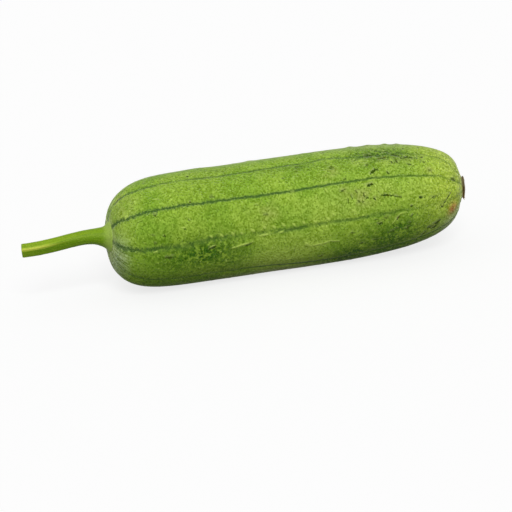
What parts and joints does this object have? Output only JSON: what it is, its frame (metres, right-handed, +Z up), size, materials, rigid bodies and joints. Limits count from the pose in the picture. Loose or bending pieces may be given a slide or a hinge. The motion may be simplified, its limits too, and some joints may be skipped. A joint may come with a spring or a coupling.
{
  "type": "sponge gourd",
  "caption": "Whole smooth sponge gourd with a length of cut stalk and a dried blossom scar, lying on its side.",
  "frame": {"origin": "on the surface that the gourd lies on, under the middle of its overall length and width", "axes": "+X along the gourd from the stalk to the blossom end, +Z up"},
  "size_m": [0.248, 0.0646, 0.0619],
  "materials": {
    "gourd_skin": "waxy satin green skin with dark veins, pale pimples and brown specks",
    "stalk_green": "satin ridged green stalk with a pale cut end",
    "dried_scar": "dry rough brown cork"
  },
  "bodies": {
    "root": {"gourd_body": "gourd_skin", "stem": "stalk_green", "blossom_scar": "dried_scar"}
  },
  "joints": []
}
